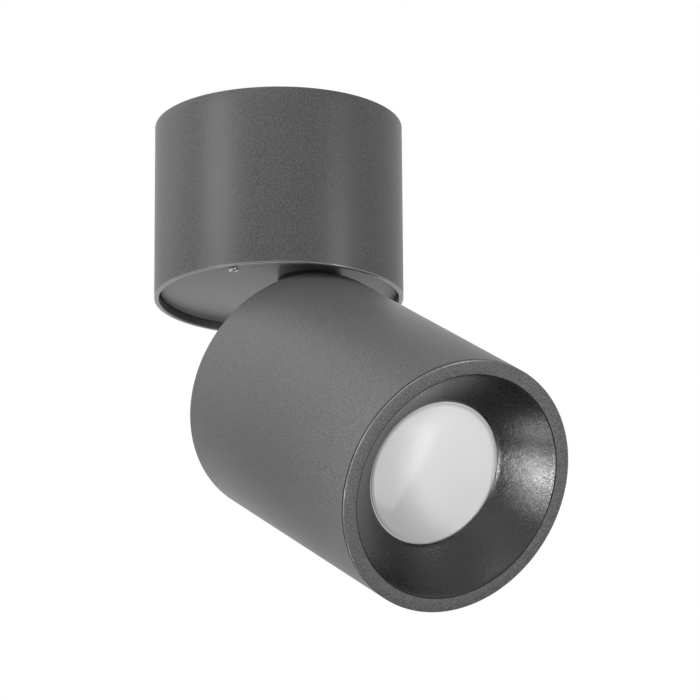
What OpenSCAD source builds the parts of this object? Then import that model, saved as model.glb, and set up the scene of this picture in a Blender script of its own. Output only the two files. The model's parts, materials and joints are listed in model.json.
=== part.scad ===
// Surface mounted ceiling spotlight with a round canopy and a round tilting head.
// Origin: centre of the canopy's top rim, where it meets the ceiling. +Z points up.
// +X is the side to which the head tilts. All lengths are in millimetres.

/* [Canopy] */
// Outer diameter of the canopy
canopy_d = 80; // [78:0.5:90]
// Height of the canopy
canopy_h = 58.3; // [56:0.1:80]
// Wall thickness of the canopy
canopy_wall = 1.5; // [1:0.1:2]
// Depth of the bottom plate above the canopy's lower rim
plate_recess = 2.5; // [1.8:0.1:3.5]
// Thickness of the bottom plate
plate_t = 2; // [1.5:0.1:2.5]
// Radial width of the ledge inside the canopy
canopy_ledge_w = 7; // [6.5:0.1:8]
// Chamfer on the canopy's rims
rim_chamfer = 0.3; // [0.1:0.05:0.4]

/* [Head] */
// Outer diameter of the head
head_d = 80; // [78:0.5:84]
// Length of the head from its rear cover to its front ring
head_len = 93.5; // [93:0.1:130]
// Wall thickness of the head
head_wall = 1.5; // [1:0.1:1.7]
// Gap between the canopy and the head when the head hangs straight down
head_gap = 3.1; // [2.8:0.1:5]
// Tilt of the head from straight down
tilt = 59; // [0:1:90]
// Thickness of the rear cover
cap_t = 3; // [2.5:0.1:3.4]
// Depth of the hinge pocket in the rear cover
pocket_depth = 10.6; // [10.4:0.1:11]

/* [Hinge] */
// Distance from the hinge axis to the side of the head
hinge_edge = 7; // [6.8:0.1:8]
// Distance from the hinge axis to the rear face of the head
hinge_inset = 5.35; // [5.2:0.05:5.6]
// Distance from the boss axis to the hinge axis
arm_reach = 16.2; // [16:0.1:17.5]
// Diameter of the round boss under the bottom plate
boss_d = 20.4; // [19:0.1:20.8]
// Thickness of the hinge knuckle along the hinge axis
knuckle_w = 12; // [10:0.1:12.4]
// Diameter of the hinge knuckle
knuckle_d = 9.2; // [8.6:0.1:9.4]
// Diameter of the hinge pin
pin_d = 4; // [3:0.1:4.4]

/* [Front] */
// Thickness of the front ring
bezel_t = 0.8; // [0.8:0.1:2.5]
// Width of the front ring's face
bezel_face_w = 4.6; // [4:0.1:6]
// Depth of the cone behind the front ring
cone_depth = 13.7; // [10:0.1:18]
// Diameter of the opening at the bottom of the cone
cone_hole_d = 44.6; // [42:0.1:46]
// Wall thickness of the cone
cone_wall = 1.5; // [1:0.1:2]

/* [Lamp] */
// Diameter of the reflector lamp
lamp_d = 50; // [48:0.5:51]
// Distance between the lamp's pins
pin_pitch = 10; // [9.8:0.1:10.4]
// Height of the opal cover's dome
dome_h = 1.6; // [0.5:0.1:3]
// Diameter of the ceramic lampholder
holder_d = 26; // [25.6:0.1:30]

/* [Swivel] */
// Outer diameter of the hollow swivel tube
nipple_d = 10; // [9.4:0.1:10.6]
// Bore of the hollow swivel tube
nipple_bore = 7; // [5.6:0.1:7.4]
// Running clearance of each shaft in its bore, on the radius
run_clear = 0.05; // [0.02:0.01:0.08]
// Radius at which the swivel stop works
stop_r = 14; // [12.6:0.1:14.2]

/* [Ceiling fixing] */
// Distance between the two ceiling screw holes
fixing_pitch = 54; // [48:1:56]
// Diameter of the ceiling screw holes
fixing_hole_d = 4.5; // [4:0.1:6]
// Diameter of the cable entry in the bracket
cable_hole_d = 12; // [8:0.5:16]
// Width of the bracket's strap
strap_w = 24; // [20:0.5:26]
// Thickness of the bracket's sheet
bracket_t = 1.5; // [1:0.1:2]
// Direction of the bracket's strap, in degrees from +X
strap_angle = 55; // [0:1:90]

/* [Leads] */
// Diameter of each insulated lead
lead_d = 1.6; // [1.2:0.1:1.7]

/* [Hidden] */
$fn = 96;
// One overrun for every cut
cut = 1;
// Small gap between parts that fit into each other, on the radius
fit_gap = 0.2;
// Room left beyond each screw's tip
tip_gap = 0.4;

// Stack inside the canopy, as depths below the ceiling
canopy_r = canopy_d / 2;
canopy_in_r = canopy_r - canopy_wall;
ledge_in_r = canopy_in_r - canopy_ledge_w;
carrier_t = 2;
glide_t = 0.8;
ledge_t = 2;
bridge_t = 2;
plate_low = canopy_h - plate_recess;
plate_top = plate_low - plate_t;
carrier_top = plate_top - carrier_t;
ledge_low = carrier_top - glide_t;
ledge_top = ledge_low - ledge_t;
bridge_top = ledge_top - bridge_t;
carrier_gap = 0.6;
plate_gap = 0.3;
glide_inset = 1;

// Swivel tube, its washers and nut
nipple_r = nipple_d / 2;
wave_t = 0.8;
wave_w = 4.4;
wave_r = nipple_r + wave_w;
stop_t = 1.5;
nut_t = 5;
nut_flats = 14;
nut_corner_r = nut_flats / 2 / cos(30);
wave_top = bridge_top - wave_t;
stop_top = wave_top - stop_t;
nut_top = stop_top - nut_t;
nipple_end = 1.5;
nipple_top = nut_top - nipple_end;
hub_w = 4;
hub_r = nipple_r + hub_w;
hub_gap = 0.3;
hub_top = ledge_top + hub_gap;
stop_pin_r = 1.2;
stop_pin_h = 3.6;
tongue_w = 2.2;
tongue_r = stop_r + stop_pin_r;
tongue_root_w = 4;
tongue_root_r = nipple_r + tongue_root_w;

// Screws: radius of thread, radius and height of head
m2_r = 1;
m25_r = 1.25;
m3_r = 1.5;
m4_r = 2;
m3_head_r = 2.75;
m3_head_h = 2;
m2_head_r = 1.5;
m2_head_h = 1.1;
m25_head_r = 2.1;
m25_head_h = 1.2;
low_head_r = 2.05;
low_head_h = 1;
slot_w = 0.6;
slot_depth = 0.6;
screw_slack = 0.2;

// Bracket
ear_w = 12;
ear_h = 14;
ear_out = sqrt(pow(canopy_in_r, 2) - pow(ear_w / 2, 2)) - fit_gap;
hole_edge = 4;
strap_half = fixing_pitch / 2 + hole_edge;
side_screw_depth = 8;
side_screw_inset = 0.3;
side_screw_len = 4.6;
hex_r = 1.15;
hex_depth = 2;

// Bridge screws on the ledge
bridge_screw_r = ledge_in_r + canopy_ledge_w / 2;
bridge_screw_len = bridge_t + ledge_t - tip_gap;
bridge_screw_count = 3;

// Plate screws, placed from the one that is seen
plate_screw_r = 29.5;
plate_screw_angle = -65;
plate_screw_count = 3;
plate_screw_len = plate_t + carrier_t - tip_gap;

// Terminal block on the bridge
block_l = 28;
block_w = 12;
block_h = 16;
block_wall = sqrt(pow(canopy_in_r, 2) - pow(block_l / 2, 2));
block_in = (tongue_r + block_wall - block_w) / 2;
pole_pitch = 9.4;
pole_r = 1.9;
pole_depth = 9;
pole_rise = 12;
clamp_r = 1.6;
clamp_len = 2.4;
clamp_depth = 3;
block_screw_y = pole_pitch / 2;
block_screw_sink = 8;
earth_x = -8;
earth_in = 11;
earth_y = earth_in - bridge_screw_r;
tag_t = 0.8;

// Hinge place, and the head's own frame: z = 0 is the rear face, the front is at -head_len
head_r = head_d / 2;
head_in_r = head_r - head_wall;
hinge_x = head_r - hinge_edge;
hinge_depth = canopy_h + head_gap + hinge_inset;
boss_x = hinge_x - arm_reach;
boss_r = boss_d / 2;
boss_gap = 0.4;
boss_low = canopy_h + head_gap - boss_gap;
boss_rise = hinge_depth - boss_low;
knuckle_r = knuckle_d / 2;
pin_r = pin_d / 2;
arm_bore = 3.5;
arm_screw_y = 6.9;
arm_thread = 3.6;
arm_screw_len = plate_t + carrier_t + arm_thread;
neck_gap = 0.5;
neck_left = arm_reach - arm_bore - neck_gap;
neck_right = arm_reach - boss_r;

// Lugs and pocket of the rear cover
washer_t = 0.5;
washer_edge = 0.3;
washer_r = knuckle_r - washer_edge;
pocket_half = knuckle_w / 2 + washer_t;
lug_t = 3.7;
lug_out = pocket_half + lug_t;
pocket_lead = 4.3;
pocket_start = boss_x - pocket_lead;
pocket_wall = 2;
pin_head_r = 2.9;
pin_head_t = 2.4;
pin_hex_r = 1.4;
pin_hex_depth = 1.4;
cap_ledge_w = 4;
cap_ledge_t = 2;
cap_screw_count = 3;
cap_screw_angle = 60;
cap_screw_r = head_in_r - cap_ledge_w / 2;
cap_screw_len = cap_t + cap_ledge_t - tip_gap;

// Bush and leads in the head
bush_r = 3.2;
bush_bore = 2.1;
bush_flange_r = 4.2;
bush_flange_t = 0.8;
lead_r = lead_d / 2;
lead_y = 1.1;
lead_end_gap = 0.3;
lead_land = m3_head_r + fit_gap + lead_r;
tag_r = lead_land + lead_r;
head_lead_x = 10.4;

// Lampholder, its bracket, and the lamp, as distances from the rear face
cone_low = head_len - cone_depth;
lamp_gap = 0.3;
lamp_front = cone_low - lamp_gap;
strip_t = 1.5;
strip_w = 16;
strip_rear_gap = 1.8;
strip_side_gap = 16;
strip_rear = pocket_depth + pocket_wall + strip_rear_gap;
strip_half = head_in_r - strip_side_gap;
foot_l = 8;
foot_hole = strip_half + foot_l / 2;
foot_screw_sink = 2.4;
// The holder and the lamp share the room between bracket and cone as the common ones do
common_holder = 15.6;
common_lamp = 48;
holder_rear = strip_rear + strip_t;
holder_h = (lamp_front - holder_rear) * common_holder / (common_holder + common_lamp);
lamp_base = holder_rear + holder_h;
holder_screw_y = 9.7;
holder_thread = 5;
holder_screw_len = strip_t + holder_thread;
pin_hole_r = 2.7;
pin_hole_depth = 8;
lamp_pin_r = 1.25;
lamp_pin_head_r = 2.4;
lamp_pin_head_h = 2.4;
lamp_pin_len = 7;
lamp_r = lamp_d / 2;
lamp_base_r = 11.5;
lamp_base_h = 8;
lamp_rim_h = 4;
lamp_wall = 1.6;
cover_t = 1.2;

// Front ring and cone
bezel_in_r = head_r - bezel_face_w;
cone_hole_r = cone_hole_d / 2;
spigot_t = 1.4;
spigot_l = 8;
spigot_gap = 0.1;

// Colours
coat = [0.36, 0.36, 0.37];
dark = [0.13, 0.13, 0.14];
steel = [0.72, 0.73, 0.74];
zinc = [0.62, 0.63, 0.60];

// Upright disc or cylinder between two depths below the ceiling
module disc(top, low, r) {
    translate([0, 0, -low])
        cylinder(h = low - top, r = r);
}

// Upright cutter that overruns both depths
module drill(top, low, r) {
    disc(top - cut, low + cut, r);
}

// Ring between two depths
module ring(top, low, r_out, r_in) {
    difference() {
        disc(top, low, r_out);
        drill(top, low, r_in);
    }
}

// Copies around the vertical axis, at one radius
module around(count, r, start = 0) {
    for (i = [0 : count - 1])
        rotate([0, 0, start + i * 360 / count])
            translate([r, 0, 0])
                children();
}

// Puts a piece that is drawn in the head's own frame at its tilt on the hinge
module in_head() {
    translate([hinge_x, 0, -hinge_depth])
        rotate([0, -tilt, 0])
            translate([-hinge_x, 0, hinge_inset])
                children();
}

// Cylinder along Y from one place to another
module along_y(y0, y1, r) {
    translate([0, y1, 0])
        rotate([90, 0, 0])
            cylinder(h = y1 - y0, r = r);
}

// Round rod from point a to point b
module rod(a, b, r) {
    d = b - a;
    len = norm(d);
    translate(a)
        rotate([0, acos(d[2] / len), atan2(d[1], d[0])])
            cylinder(h = len, r = r, $fn = 24);
}

// Insulated lead through a list of points, with round corners
module lead(points) {
    for (i = [0 : len(points) - 2])
        rod(points[i], points[i + 1], lead_r);
    for (i = [1 : len(points) - 2])
        translate(points[i])
            sphere(r = lead_r, $fn = 24);
}

// Pan-head screw with a slot: the head stands above z = 0 and the shank goes down
module screw(thread_r, len, head_r, head_h) {
    difference() {
        union() {
            translate([0, 0, -len])
                cylinder(h = len, r = thread_r);
            cylinder(h = head_h, r = head_r);
        }
        translate([-head_r - cut, -slot_w / 2, head_h - slot_depth])
            cube([2 * (head_r + cut), slot_w, slot_depth + cut]);
    }
}

// Strap across the ceiling with two turned-down ears
module ceiling_bracket() {
    color(zinc)
    rotate([0, 0, strap_angle])
    difference() {
        union() {
            translate([-strap_half, -strap_w / 2, -bracket_t])
                cube([2 * strap_half, strap_w, bracket_t]);
            translate([-ear_out, -ear_w / 2, -bracket_t])
                cube([2 * ear_out, ear_w, bracket_t]);
            for (side = [-1, 1])
                translate([side * (ear_out - bracket_t / 2), 0, -ear_h / 2])
                    cube([bracket_t, ear_w, ear_h], center = true);
        }
        drill(0, bracket_t, cable_hole_d / 2);
        around(2, fixing_pitch / 2)
            drill(0, bracket_t, fixing_hole_d / 2);
        translate([0, 0, -side_screw_depth])
            rotate([0, 90, 0])
                cylinder(h = 2 * (ear_out + cut), r = m4_r, center = true);
    }
}

// Round housing with chamfered rims and an inner ledge
module canopy_tube() {
    color(coat)
    difference() {
        rotate_extrude()
            polygon([
                [canopy_in_r, 0],
                [canopy_r - rim_chamfer, 0],
                [canopy_r, -rim_chamfer],
                [canopy_r, rim_chamfer - canopy_h],
                [canopy_r - rim_chamfer, -canopy_h],
                [canopy_in_r + rim_chamfer, -canopy_h],
                [canopy_in_r, rim_chamfer - canopy_h],
                [canopy_in_r, -ledge_low],
                [ledge_in_r, -ledge_low],
                [ledge_in_r, -ledge_top],
                [canopy_in_r, -ledge_top]
            ]);
        rotate([0, 0, strap_angle])
            translate([0, 0, -side_screw_depth])
                rotate([0, 90, 0])
                    cylinder(h = 2 * (canopy_r + cut), r = m4_r + screw_slack, center = true);
        around(bridge_screw_count, bridge_screw_r)
            drill(ledge_top, ledge_low, m3_r);
    }
}

// Grub screws through the canopy wall into the ears
module side_screws() {
    color(steel)
    rotate([0, 0, strap_angle])
        around(2, canopy_r - side_screw_inset)
            translate([0, 0, -side_screw_depth])
                rotate([0, -90, 0])
                    difference() {
                        cylinder(h = side_screw_len, r = m4_r);
                        translate([0, 0, -cut])
                            cylinder(h = hex_depth + cut, r = hex_r, $fn = 6);
                    }
}

// Steel plate on the ledge, with the swivel's bearing hole
module swivel_bridge() {
    color(zinc)
    difference() {
        disc(bridge_top, ledge_top, canopy_in_r - fit_gap);
        drill(bridge_top, ledge_top, nipple_r + run_clear);
        around(bridge_screw_count, bridge_screw_r)
            drill(bridge_top, ledge_top, m3_r + screw_slack);
        translate([-stop_r, 0, 0])
            drill(bridge_top, ledge_top, stop_pin_r);
        for (side = [-1, 1])
            translate([-block_in - block_w / 2, side * block_screw_y, 0])
                drill(bridge_top, ledge_top, m25_r);
        translate([earth_x, earth_y, 0])
            drill(bridge_top, ledge_top, m3_r);
    }
}

// Screws that hold the bridge on the ledge
module bridge_screws() {
    color(steel)
    around(bridge_screw_count, bridge_screw_r)
        translate([0, 0, -bridge_top])
            screw(m3_r, bridge_screw_len, m3_head_r, m3_head_h);
}

// End stop of the swivel, pressed into the bridge
module stop_pin() {
    color(steel)
    translate([-stop_r, 0, 0])
        disc(bridge_top - stop_pin_h, ledge_top, stop_pin_r);
}

// Three-pole connector with its wire entries and clamping screw holes
module terminal_block() {
    color("ivory")
    difference() {
        translate([-block_in - block_w, -block_l / 2, -bridge_top])
            cube([block_w, block_l, block_h]);
        for (i = [-1 : 1]) {
            translate([-block_in - pole_depth, i * pole_pitch, pole_rise - bridge_top])
                rotate([0, 90, 0])
                    cylinder(h = pole_depth + cut, r = pole_r);
            translate([-block_in - block_w / 2, i * pole_pitch, block_h - bridge_top - clamp_depth])
                cylinder(h = clamp_depth + cut, r = clamp_r);
        }
        for (side = [-1, 1])
            translate([-block_in - block_w / 2, side * block_screw_y, 0]) {
                drill(bridge_top - block_h, bridge_top, m25_r + screw_slack);
                drill(bridge_top - block_h, bridge_top - block_h + block_screw_sink,
                    m25_head_r + screw_slack);
            }
    }
}

// Clamping screws of the connector
module terminal_screws() {
    color("goldenrod")
    for (i = [-1 : 1])
        translate([-block_in - block_w / 2, i * pole_pitch, block_h - bridge_top - clamp_depth])
            difference() {
                cylinder(h = clamp_len, r = clamp_r);
                translate([-clamp_r - cut, -slot_w / 2, clamp_len - slot_depth])
                    cube([2 * (clamp_r + cut), slot_w, slot_depth + cut]);
            }
}

// Screws that hold the connector on the bridge
module block_screws() {
    color(steel)
    for (side = [-1, 1])
        translate([-block_in - block_w / 2, side * block_screw_y, 0])
            translate([0, 0, block_h - block_screw_sink - cut - bridge_top])
                screw(m25_r, block_h - block_screw_sink - cut + bridge_t,
                    m25_head_r, m25_head_h);
}

// Live and neutral leads, from the connector to just above the swivel tube
module supply_leads() {
    lead_z = pole_rise - bridge_top;
    start_x = -block_in - pole_depth / 2;
    color("saddlebrown") {
        lead([
            [start_x, 0, lead_z],
            [0, 0, lead_z],
            [0, 0, lead_end_gap - nipple_top]
        ]);
        lead([
            [start_x, pole_pitch, lead_z],
            [0, pole_pitch, lead_z],
            [0, 2 * lead_y, lead_z],
            [0, 2 * lead_y, lead_end_gap - nipple_top]
        ]);
    }
}

// Earth lead, from the connector down onto the earth tag
module earth_lead() {
    lead_z = pole_rise - bridge_top;
    tag_y = earth_y + lead_land;
    color("olivedrab")
    lead([
        [-block_in - pole_depth / 2, -pole_pitch, lead_z],
        [earth_x, -pole_pitch, lead_z],
        [earth_x, tag_y, lead_z],
        [earth_x, tag_y, tag_t - bridge_top]
    ]);
}

// Round tag and screw of the earth connection
module earth_terminal() {
    head_low = bridge_top - tag_t;
    color(steel)
    translate([earth_x, earth_y, 0])
        difference() {
            union() {
                disc(head_low, bridge_top, tag_r);
                disc(head_low - m3_head_h, head_low, m3_head_r);
                disc(bridge_top, ledge_top, m3_r);
            }
            translate([-m3_head_r - cut, -slot_w / 2, m3_head_h - slot_depth - head_low])
                cube([2 * (m3_head_r + cut), slot_w, slot_depth + cut]);
        }
}

// Steel disc with a hub for the swivel tube and a slot for the leads
module swivel_carrier() {
    color(zinc)
    difference() {
        union() {
            disc(carrier_top, plate_top, canopy_in_r - carrier_gap);
            disc(hub_top, carrier_top, hub_r);
        }
        drill(hub_top, carrier_top - cut, nipple_r);
        translate([-arm_bore, -arm_bore, -plate_top - cut])
            cube([boss_x + 2 * arm_bore, 2 * arm_bore, carrier_t + cut]);
        around(plate_screw_count, plate_screw_r, plate_screw_angle)
            drill(carrier_top, plate_top, m2_r);
        for (side = [-1, 1])
            translate([boss_x, side * arm_screw_y, 0])
                drill(carrier_top, plate_top, m3_r + screw_slack);
    }
}

// Nylon ring that glides under the ledge
module glide_ring() {
    color("white")
    ring(ledge_low, carrier_top, canopy_in_r - glide_inset, ledge_in_r + glide_inset);
}

// Recessed round plate that closes the canopy
module bottom_plate() {
    color(coat)
    difference() {
        disc(plate_top, plate_low, canopy_in_r - plate_gap);
        translate([boss_x, 0, 0])
            drill(plate_top, plate_low, arm_bore);
        around(plate_screw_count, plate_screw_r, plate_screw_angle)
            drill(plate_top, plate_low, m2_r + screw_slack);
        for (side = [-1, 1])
            translate([boss_x, side * arm_screw_y, 0])
                drill(plate_top, plate_low, m3_r + screw_slack);
    }
}

// Small bright screws in the bottom plate, with their heads below it
module plate_screws() {
    color(steel)
    around(plate_screw_count, plate_screw_r, plate_screw_angle)
        translate([0, 0, -plate_low])
            rotate([180, 0, 0])
                screw(m2_r, plate_screw_len, m2_head_r, m2_head_h);
}

// Hollow threaded tube that is the swivel's shaft
module swivel_nipple() {
    color(steel)
    ring(nipple_top, carrier_top, nipple_r, nipple_bore / 2);
}

// Spring washer between the bridge and the stop washer
module wave_washer() {
    color(steel)
    ring(wave_top, bridge_top, wave_r, nipple_r);
}

// Washer with a tongue that meets the stop pin
module stop_washer() {
    color(zinc)
    difference() {
        union() {
            disc(stop_top, wave_top, tongue_root_r);
            translate([0, -tongue_w / 2, -wave_top])
                cube([tongue_r, tongue_w, stop_t]);
        }
        drill(stop_top, wave_top, nipple_r);
    }
}

// Hexagonal nut on the swivel tube
module lock_nut() {
    color(steel)
    difference() {
        translate([0, 0, -stop_top])
            cylinder(h = nut_t, r = nut_corner_r, $fn = 6);
        drill(nut_top, stop_top, nipple_r);
    }
}

// Round boss, neck and knuckle in one casting
module hinge_arm() {
    tangent = knuckle_r / sqrt(2);
    color(dark)
    difference() {
        union() {
            translate([boss_x, 0, 0])
                disc(plate_low, boss_low, boss_r);
            translate([hinge_x, knuckle_w / 2, -hinge_depth])
                rotate([90, 0, 0])
                    linear_extrude(knuckle_w)
                        polygon([
                            [-neck_left, boss_rise + boss_gap],
                            [-neck_right, boss_rise + boss_gap],
                            [-neck_right, knuckle_r],
                            [0, knuckle_r],
                            [0, 0],
                            [-tangent, -tangent]
                        ]);
            translate([hinge_x, 0, -hinge_depth])
                along_y(-knuckle_w / 2, knuckle_w / 2, knuckle_r);
        }
        translate([boss_x, 0, 0])
            drill(plate_low, boss_low, arm_bore);
        for (side = [-1, 1])
            translate([boss_x, side * arm_screw_y, 0])
                drill(plate_low, plate_low + arm_thread - cut, m3_r);
        translate([hinge_x, 0, -hinge_depth])
            along_y(-knuckle_w / 2 - cut, knuckle_w / 2 + cut, pin_r + run_clear);
    }
}

// Screws from the carrier down into the boss
module arm_screws() {
    color(steel)
    for (side = [-1, 1])
        translate([boss_x, side * arm_screw_y, -carrier_top])
            screw(m3_r, arm_screw_len, m3_head_r, m3_head_h);
}

// Leads down the swivel tube, along the carrier's slot and down the boss
module swivel_leads() {
    color("saddlebrown")
    for (side = [-1, 1])
        lead([
            [0, side * lead_y, -nipple_top],
            [0, side * lead_y, carrier_t / 2 - plate_top],
            [boss_x, side * lead_y, carrier_t / 2 - plate_top],
            [boss_x, side * lead_y, -boss_low]
        ]);
}

// Round housing of the head, with an inner ledge for the rear cover
module head_tube() {
    ledge_cut = lug_out + pin_head_t + fit_gap;
    color(coat)
    in_head()
    difference() {
        rotate_extrude()
            polygon([
                [head_in_r, 0],
                [head_r - rim_chamfer, 0],
                [head_r, -rim_chamfer],
                [head_r, bezel_t - head_len],
                [head_in_r, bezel_t - head_len],
                [head_in_r, -cap_t - cap_ledge_t],
                [head_in_r - cap_ledge_w, -cap_t - cap_ledge_t],
                [head_in_r - cap_ledge_w, -cap_t],
                [head_in_r, -cap_t]
            ]);
        intersection() {
            translate([0, -ledge_cut, -cap_t - cap_ledge_t - cut])
                cube([head_r, 2 * ledge_cut, cap_ledge_t + 2 * cut]);
            translate([0, 0, -cap_t - cap_ledge_t - cut])
                cylinder(h = cap_ledge_t + 2 * cut, r = head_in_r);
        }
        around(cap_screw_count, cap_screw_r, cap_screw_angle)
            drill(cap_t, cap_t + cap_ledge_t, m25_r);
    }
}

// Rear cover with the open hinge pocket between two lugs
module rear_cap() {
    floor_low = pocket_depth + pocket_wall;
    relief = pin_head_t + fit_gap;
    color(dark)
    in_head()
    difference() {
        union() {
            disc(0, cap_t, head_in_r - fit_gap);
            intersection() {
                translate([pocket_start - pocket_wall, -lug_out, -floor_low])
                    cube([head_r, 2 * lug_out, floor_low]);
                disc(0, floor_low, head_in_r - fit_gap);
            }
        }
        translate([pocket_start, -pocket_half, -pocket_depth])
            cube([head_r, 2 * pocket_half, pocket_depth + cut]);
        translate([hinge_x, 0, -hinge_inset])
            along_y(-lug_out - cut, lug_out + cut, pin_r);
        for (side = [-1, 1])
            translate([hinge_x, side * (lug_out + relief / 2), -hinge_inset])
                along_y(-relief / 2, relief / 2, pin_head_r + fit_gap);
        translate([boss_x, 0, 0])
            drill(pocket_depth, floor_low, bush_r);
        around(cap_screw_count, cap_screw_r, cap_screw_angle)
            drill(0, cap_t, m25_r + screw_slack);
        for (side = [-1, 1])
            translate([0, side * foot_hole, 0])
                disc(cap_t - foot_screw_sink, cap_t + cut, m3_r);
    }
}

// Flat-headed screws that hold the rear cover
module cap_screws() {
    color(steel)
    in_head()
    around(cap_screw_count, cap_screw_r, cap_screw_angle)
        screw(m25_r, cap_screw_len, low_head_r, low_head_h);
}

// Shoulder screw that is the hinge pin
module hinge_screw() {
    color(steel)
    in_head()
    translate([hinge_x, 0, -hinge_inset])
        difference() {
            union() {
                along_y(-lug_out, lug_out + pin_head_t, pin_r);
                along_y(-lug_out - pin_head_t, -lug_out, pin_head_r);
            }
            translate([0, -lug_out - pin_head_t + pin_hex_depth, 0])
                rotate([90, 0, 0])
                    cylinder(h = pin_hex_depth + cut, r = pin_hex_r, $fn = 6);
        }
}

// Round lock nut of the hinge screw
module hinge_nut() {
    color(steel)
    in_head()
    translate([hinge_x, 0, -hinge_inset])
        difference() {
            along_y(lug_out, lug_out + pin_head_t, pin_head_r);
            along_y(lug_out - cut, lug_out + pin_head_t + cut, pin_r);
        }
}

// Friction washers on both sides of the knuckle
module friction_washers() {
    color("tan")
    in_head()
    translate([hinge_x, 0, -hinge_inset])
        for (side = [-1, 1])
            difference() {
                along_y(
                    min(side * knuckle_w / 2, side * pocket_half),
                    max(side * knuckle_w / 2, side * pocket_half), washer_r);
                along_y(-pocket_half - cut, pocket_half + cut, pin_r);
            }
}

// Rubber bush in the floor of the pocket
module lead_bush() {
    color("black")
    in_head()
    translate([boss_x, 0, 0])
        difference() {
            union() {
                disc(pocket_depth, pocket_depth + pocket_wall, bush_r);
                disc(pocket_depth + pocket_wall, pocket_depth + pocket_wall + bush_flange_t,
                    bush_flange_r);
            }
            drill(pocket_depth, pocket_depth + pocket_wall + bush_flange_t, bush_bore);
        }
}

// Leads from the bush to the rear of the lampholder
module head_leads() {
    bend = holder_rear - lead_end_gap - lead_r;
    color("saddlebrown")
    in_head()
    for (side = [-1, 1])
        lead([
            [boss_x, side * lead_y, -pocket_depth],
            [boss_x, side * lead_y, -bend],
            [head_lead_x, side * lead_y, -bend],
            [head_lead_x, side * lead_y, -holder_rear]
        ]);
}

// Bent steel strip with two feet that carries the lampholder
module holder_bracket() {
    color(zinc)
    in_head()
    difference() {
        union() {
            translate([-strip_w / 2, -strip_half, -holder_rear])
                cube([strip_w, 2 * strip_half, strip_t]);
            for (side = [-1, 1]) {
                translate([-strip_w / 2, side * (strip_half - strip_t / 2) - strip_t / 2, -holder_rear])
                    cube([strip_w, strip_t, holder_rear - cap_t]);
                translate([-strip_w / 2, side * foot_hole - foot_l / 2, -cap_t - strip_t])
                    cube([strip_w, foot_l, strip_t]);
            }
        }
        for (side = [-1, 1]) {
            translate([0, side * foot_hole, 0])
                drill(cap_t, cap_t + strip_t, m3_r + screw_slack);
            translate([0, side * holder_screw_y, 0])
                drill(strip_rear, holder_rear, m3_r + screw_slack);
        }
    }
}

// Screws that hold the strip's feet on the rear cover
module bracket_screws() {
    color(steel)
    in_head()
    for (side = [-1, 1])
        translate([0, side * foot_hole, -cap_t - strip_t])
            rotate([180, 0, 0])
                screw(m3_r, strip_t + foot_screw_sink, m3_head_r, m3_head_h);
}

// Ceramic holder with two pin holes
module lampholder() {
    color("whitesmoke")
    in_head()
    difference() {
        disc(holder_rear, lamp_base, holder_d / 2);
        for (side = [-1, 1]) {
            translate([0, side * pin_pitch / 2, 0])
                disc(lamp_base - pin_hole_depth, lamp_base + cut, pin_hole_r);
            translate([0, side * holder_screw_y, 0])
                disc(holder_rear - cut, holder_rear + holder_screw_len - strip_t, m3_r);
        }
    }
}

// Screws from the strip into the lampholder
module holder_screws() {
    color(steel)
    in_head()
    for (side = [-1, 1])
        translate([0, side * holder_screw_y, -strip_rear])
            screw(m3_r, holder_screw_len, low_head_r, low_head_h);
}

// Housing of the reflector lamp, a shell that is open at the front
module lamp_body() {
    color("white")
    in_head()
    rotate_extrude()
        polygon([
            [0, -lamp_base],
            [lamp_base_r, -lamp_base],
            [lamp_base_r, -lamp_base - lamp_base_h],
            [lamp_r, -lamp_front + lamp_rim_h],
            [lamp_r, -lamp_front],
            [lamp_r - lamp_wall, -lamp_front],
            [lamp_r - lamp_wall, -lamp_front + lamp_rim_h],
            [lamp_base_r - lamp_wall, -lamp_base - lamp_base_h],
            [0, -lamp_base - lamp_base_h]
        ]);
}

// Contact pins of the lamp, with wide ends
module lamp_pins() {
    color(steel)
    in_head()
    for (side = [-1, 1])
        translate([0, side * pin_pitch / 2, 0]) {
            disc(lamp_base - lamp_pin_len, lamp_base, lamp_pin_r);
            disc(lamp_base - lamp_pin_len, lamp_base - lamp_pin_len + lamp_pin_head_h,
                lamp_pin_head_r);
        }
}

// Opal front of the lamp: a shallow dome that lies in the housing's rim
module lamp_cover() {
    steps = 8;
    cover_r = lamp_r - lamp_wall;
    dome_r = cone_hole_r - lamp_gap;
    color("white")
    in_head()
    rotate_extrude()
        polygon(concat(
            [
                [0, cover_t - lamp_front],
                [cover_r, cover_t - lamp_front],
                [cover_r, -lamp_front]
            ],
            [for (i = [0 : steps])
                [dome_r * cos(90 * i / steps), -lamp_front - dome_h * sin(90 * i / steps)]]
        ));
}

// Front ring, deep cone and the spigot that plugs into the head
module front_bezel() {
    flange_low = head_len - bezel_t;
    spigot_r = head_in_r - spigot_gap;
    color(coat)
    in_head()
    rotate_extrude()
        polygon([
            [bezel_in_r, -head_len],
            [head_r - rim_chamfer, -head_len],
            [head_r, rim_chamfer - head_len],
            [head_r, -flange_low],
            [spigot_r, -flange_low],
            [spigot_r, spigot_l - flange_low],
            [spigot_r - spigot_t, spigot_l - flange_low],
            [spigot_r - spigot_t, -flange_low],
            [cone_hole_r + cone_wall, -cone_low],
            [cone_hole_r, -cone_low]
        ]);
}

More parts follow.
